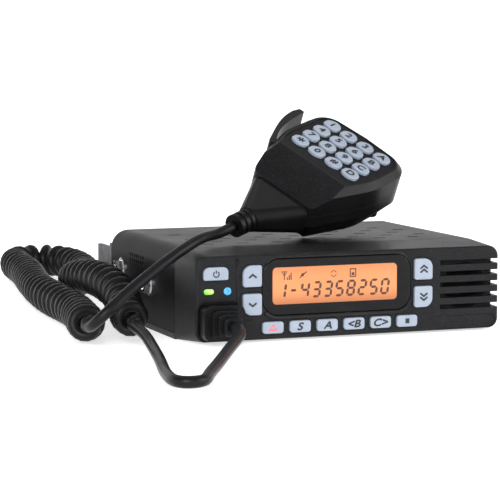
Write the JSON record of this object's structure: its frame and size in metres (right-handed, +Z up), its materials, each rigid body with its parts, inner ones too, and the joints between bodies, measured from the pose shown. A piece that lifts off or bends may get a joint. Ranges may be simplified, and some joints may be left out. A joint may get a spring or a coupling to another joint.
{
  "type": "mobile transceiver",
  "caption": "Flat box-shaped mobile two-way radio with a front display and keys, and a keypad hand microphone that rests on top, joined by a curly cord.",
  "frame": {"origin": "centre of the case footprint on the surface that the radio stands on", "axes": "+X to the operator's right, +Y to the back of the radio, +Z up"},
  "size_m": [0.2208, 0.4268, 0.1047],
  "materials": {
    "cast_case": "black painted die casting",
    "bare_casting": "grey cast fins",
    "cover_paint": "satin black paint",
    "panel_plastic": "fine grained black",
    "display_lens": "glossy smoked",
    "lcd_glass": "amber backlit",
    "green_lens": "clear tinted",
    "blue_lens": "clear tinted",
    "mat_rubber": "silicone",
    "board_laminate": "green laminate",
    "tin_plate": "tin plate",
    "module_metal": "machined",
    "speaker_parts": "black",
    "socket_plastic": "black",
    "plated_screw": "bright plate",
    "socket_nickel": "nickel plate",
    "key_plastic": "pale blue-grey",
    "mic_plastic": "fine grained black",
    "bezel_plastic": "satin black",
    "capsule_can": "bare",
    "boot_rubber": "matt black",
    "lever_plastic": "ribbed black",
    "plug_clear": "clear moulding",
    "cord_jacket": "satin black jacket"
  },
  "bodies": {
    "radio": {"antenna_socket": "socket_nickel", "blue_status_lens": "blue_lens", "chassis": "cast_case", "control_board": "board_laminate", "cord_coil": "cord_jacket", "cord_lead_mic": "cord_jacket", "cord_lead_plug": "cord_jacket", "display_window": "display_lens", "front_panel": "panel_plastic", "green_status_lens": "green_lens", "heat_sink": "bare_casting", "lcd_module": "lcd_glass", "main_board": "board_laminate", "mic_jack": "socket_plastic", "mic_plug": "plug_clear", "panel_key_mat": "mat_rubber", "plug_boot": "boot_rubber", "power_inlet": "socket_plastic", "power_module": "module_metal", "shield_cans": "tin_plate", "side_screws": "plated_screw", "speaker": "speaker_parts", "speaker_jack": "socket_plastic", "top_cover": "cover_paint"},
    "microphone": {"mic_front_case": "mic_plastic", "mic_rear_case": "mic_plastic", "mic_keypad_bezel": "bezel_plastic", "mic_board": "board_laminate", "mic_capsule": "capsule_can", "mic_hanger_stud": "plated_screw", "mic_case_screws": "plated_screw", "mic_boot": "boot_rubber"},
    "ptt_lever": {"ptt_lever": "lever_plastic"},
    "key_double_down": {"key_double_down": "key_plastic"},
    "key_double_up": {"key_double_up": "key_plastic"},
    "key_down": {"key_down": "key_plastic"},
    "key_function_1": {"key_function_1": "key_plastic"},
    "key_function_2": {"key_function_2": "key_plastic"},
    "key_function_3": {"key_function_3": "key_plastic"},
    "key_function_4": {"key_function_4": "key_plastic"},
    "key_function_5": {"key_function_5": "key_plastic"},
    "key_function_6": {"key_function_6": "key_plastic"},
    "key_power": {"key_power": "key_plastic"},
    "key_up": {"key_up": "key_plastic"},
    "mic_key_0": {"mic_key_0": "key_plastic"},
    "mic_key_1": {"mic_key_1": "key_plastic"},
    "mic_key_2": {"mic_key_2": "key_plastic"},
    "mic_key_3": {"mic_key_3": "key_plastic"},
    "mic_key_4": {"mic_key_4": "key_plastic"},
    "mic_key_5": {"mic_key_5": "key_plastic"},
    "mic_key_6": {"mic_key_6": "key_plastic"},
    "mic_key_7": {"mic_key_7": "key_plastic"},
    "mic_key_8": {"mic_key_8": "key_plastic"},
    "mic_key_9": {"mic_key_9": "key_plastic"},
    "mic_key_a": {"mic_key_a": "key_plastic"},
    "mic_key_b": {"mic_key_b": "key_plastic"},
    "mic_key_c": {"mic_key_c": "key_plastic"},
    "mic_key_d": {"mic_key_d": "key_plastic"},
    "mic_key_hash": {"mic_key_hash": "key_plastic"},
    "mic_key_star": {"mic_key_star": "key_plastic"}
  },
  "joints": [
    {"name": "microphone_lift", "type": "slide", "parent": "radio", "child": "microphone", "axis": [0, 0, 1], "range_m": [0, 0.05]},
    {"name": "ptt_press", "type": "hinge", "parent": "microphone", "child": "ptt_lever", "pos_m": [-0.01004, 0.01537, 0.08655], "axis": [-0.0195, 0.5375, -0.8431], "range_deg": [0, 3.5], "stiffness_Nm_per_rad": 0.6, "springref_deg": -3.44},
    {"name": "key_double_down_press", "type": "slide", "parent": "radio", "child": "key_double_down", "axis": [0, 1, 0], "range_m": [0, 0.0008], "stiffness_N_per_m": 900, "springref_m": -0.0005},
    {"name": "key_double_up_press", "type": "slide", "parent": "radio", "child": "key_double_up", "axis": [0, 1, 0], "range_m": [0, 0.0008], "stiffness_N_per_m": 900, "springref_m": -0.0005},
    {"name": "key_down_press", "type": "slide", "parent": "radio", "child": "key_down", "axis": [0, 1, 0], "range_m": [0, 0.0008], "stiffness_N_per_m": 900, "springref_m": -0.0005},
    {"name": "key_function_1_press", "type": "slide", "parent": "radio", "child": "key_function_1", "axis": [0, 1, 0], "range_m": [0, 0.0008], "stiffness_N_per_m": 900, "springref_m": -0.0005},
    {"name": "key_function_2_press", "type": "slide", "parent": "radio", "child": "key_function_2", "axis": [0, 1, 0], "range_m": [0, 0.0008], "stiffness_N_per_m": 900, "springref_m": -0.0005},
    {"name": "key_function_3_press", "type": "slide", "parent": "radio", "child": "key_function_3", "axis": [0, 1, 0], "range_m": [0, 0.0008], "stiffness_N_per_m": 900, "springref_m": -0.0005},
    {"name": "key_function_4_press", "type": "slide", "parent": "radio", "child": "key_function_4", "axis": [0, 1, 0], "range_m": [0, 0.0008], "stiffness_N_per_m": 900, "springref_m": -0.0005},
    {"name": "key_function_5_press", "type": "slide", "parent": "radio", "child": "key_function_5", "axis": [0, 1, 0], "range_m": [0, 0.0008], "stiffness_N_per_m": 900, "springref_m": -0.0005},
    {"name": "key_function_6_press", "type": "slide", "parent": "radio", "child": "key_function_6", "axis": [0, 1, 0], "range_m": [0, 0.0008], "stiffness_N_per_m": 900, "springref_m": -0.0005},
    {"name": "key_power_press", "type": "slide", "parent": "radio", "child": "key_power", "axis": [0, 1, 0], "range_m": [0, 0.0008], "stiffness_N_per_m": 900, "springref_m": -0.0005},
    {"name": "key_up_press", "type": "slide", "parent": "radio", "child": "key_up", "axis": [0, 1, 0], "range_m": [0, 0.0008], "stiffness_N_per_m": 900, "springref_m": -0.0005},
    {"name": "mic_key_0_press", "type": "slide", "parent": "microphone", "child": "mic_key_0", "axis": [-0.0195, 0.5375, -0.8431], "range_m": [0, 0.0008], "stiffness_N_per_m": 700, "springref_m": -0.0005},
    {"name": "mic_key_1_press", "type": "slide", "parent": "microphone", "child": "mic_key_1", "axis": [-0.0195, 0.5375, -0.8431], "range_m": [0, 0.0008], "stiffness_N_per_m": 700, "springref_m": -0.0005},
    {"name": "mic_key_2_press", "type": "slide", "parent": "microphone", "child": "mic_key_2", "axis": [-0.0195, 0.5375, -0.8431], "range_m": [0, 0.0008], "stiffness_N_per_m": 700, "springref_m": -0.0005},
    {"name": "mic_key_3_press", "type": "slide", "parent": "microphone", "child": "mic_key_3", "axis": [-0.0195, 0.5375, -0.8431], "range_m": [0, 0.0008], "stiffness_N_per_m": 700, "springref_m": -0.0005},
    {"name": "mic_key_4_press", "type": "slide", "parent": "microphone", "child": "mic_key_4", "axis": [-0.0195, 0.5375, -0.8431], "range_m": [0, 0.0008], "stiffness_N_per_m": 700, "springref_m": -0.0005},
    {"name": "mic_key_5_press", "type": "slide", "parent": "microphone", "child": "mic_key_5", "axis": [-0.0195, 0.5375, -0.8431], "range_m": [0, 0.0008], "stiffness_N_per_m": 700, "springref_m": -0.0005},
    {"name": "mic_key_6_press", "type": "slide", "parent": "microphone", "child": "mic_key_6", "axis": [-0.0195, 0.5375, -0.8431], "range_m": [0, 0.0008], "stiffness_N_per_m": 700, "springref_m": -0.0005},
    {"name": "mic_key_7_press", "type": "slide", "parent": "microphone", "child": "mic_key_7", "axis": [-0.0195, 0.5375, -0.8431], "range_m": [0, 0.0008], "stiffness_N_per_m": 700, "springref_m": -0.0005},
    {"name": "mic_key_8_press", "type": "slide", "parent": "microphone", "child": "mic_key_8", "axis": [-0.0195, 0.5375, -0.8431], "range_m": [0, 0.0008], "stiffness_N_per_m": 700, "springref_m": -0.0005},
    {"name": "mic_key_9_press", "type": "slide", "parent": "microphone", "child": "mic_key_9", "axis": [-0.0195, 0.5375, -0.8431], "range_m": [0, 0.0008], "stiffness_N_per_m": 700, "springref_m": -0.0005},
    {"name": "mic_key_a_press", "type": "slide", "parent": "microphone", "child": "mic_key_a", "axis": [-0.0195, 0.5375, -0.8431], "range_m": [0, 0.0008], "stiffness_N_per_m": 700, "springref_m": -0.0005},
    {"name": "mic_key_b_press", "type": "slide", "parent": "microphone", "child": "mic_key_b", "axis": [-0.0195, 0.5375, -0.8431], "range_m": [0, 0.0008], "stiffness_N_per_m": 700, "springref_m": -0.0005},
    {"name": "mic_key_c_press", "type": "slide", "parent": "microphone", "child": "mic_key_c", "axis": [-0.0195, 0.5375, -0.8431], "range_m": [0, 0.0008], "stiffness_N_per_m": 700, "springref_m": -0.0005},
    {"name": "mic_key_d_press", "type": "slide", "parent": "microphone", "child": "mic_key_d", "axis": [-0.0195, 0.5375, -0.8431], "range_m": [0, 0.0008], "stiffness_N_per_m": 700, "springref_m": -0.0005},
    {"name": "mic_key_hash_press", "type": "slide", "parent": "microphone", "child": "mic_key_hash", "axis": [-0.0195, 0.5375, -0.8431], "range_m": [0, 0.0008], "stiffness_N_per_m": 700, "springref_m": -0.0005},
    {"name": "mic_key_star_press", "type": "slide", "parent": "microphone", "child": "mic_key_star", "axis": [-0.0195, 0.5375, -0.8431], "range_m": [0, 0.0008], "stiffness_N_per_m": 700, "springref_m": -0.0005}
  ]
}
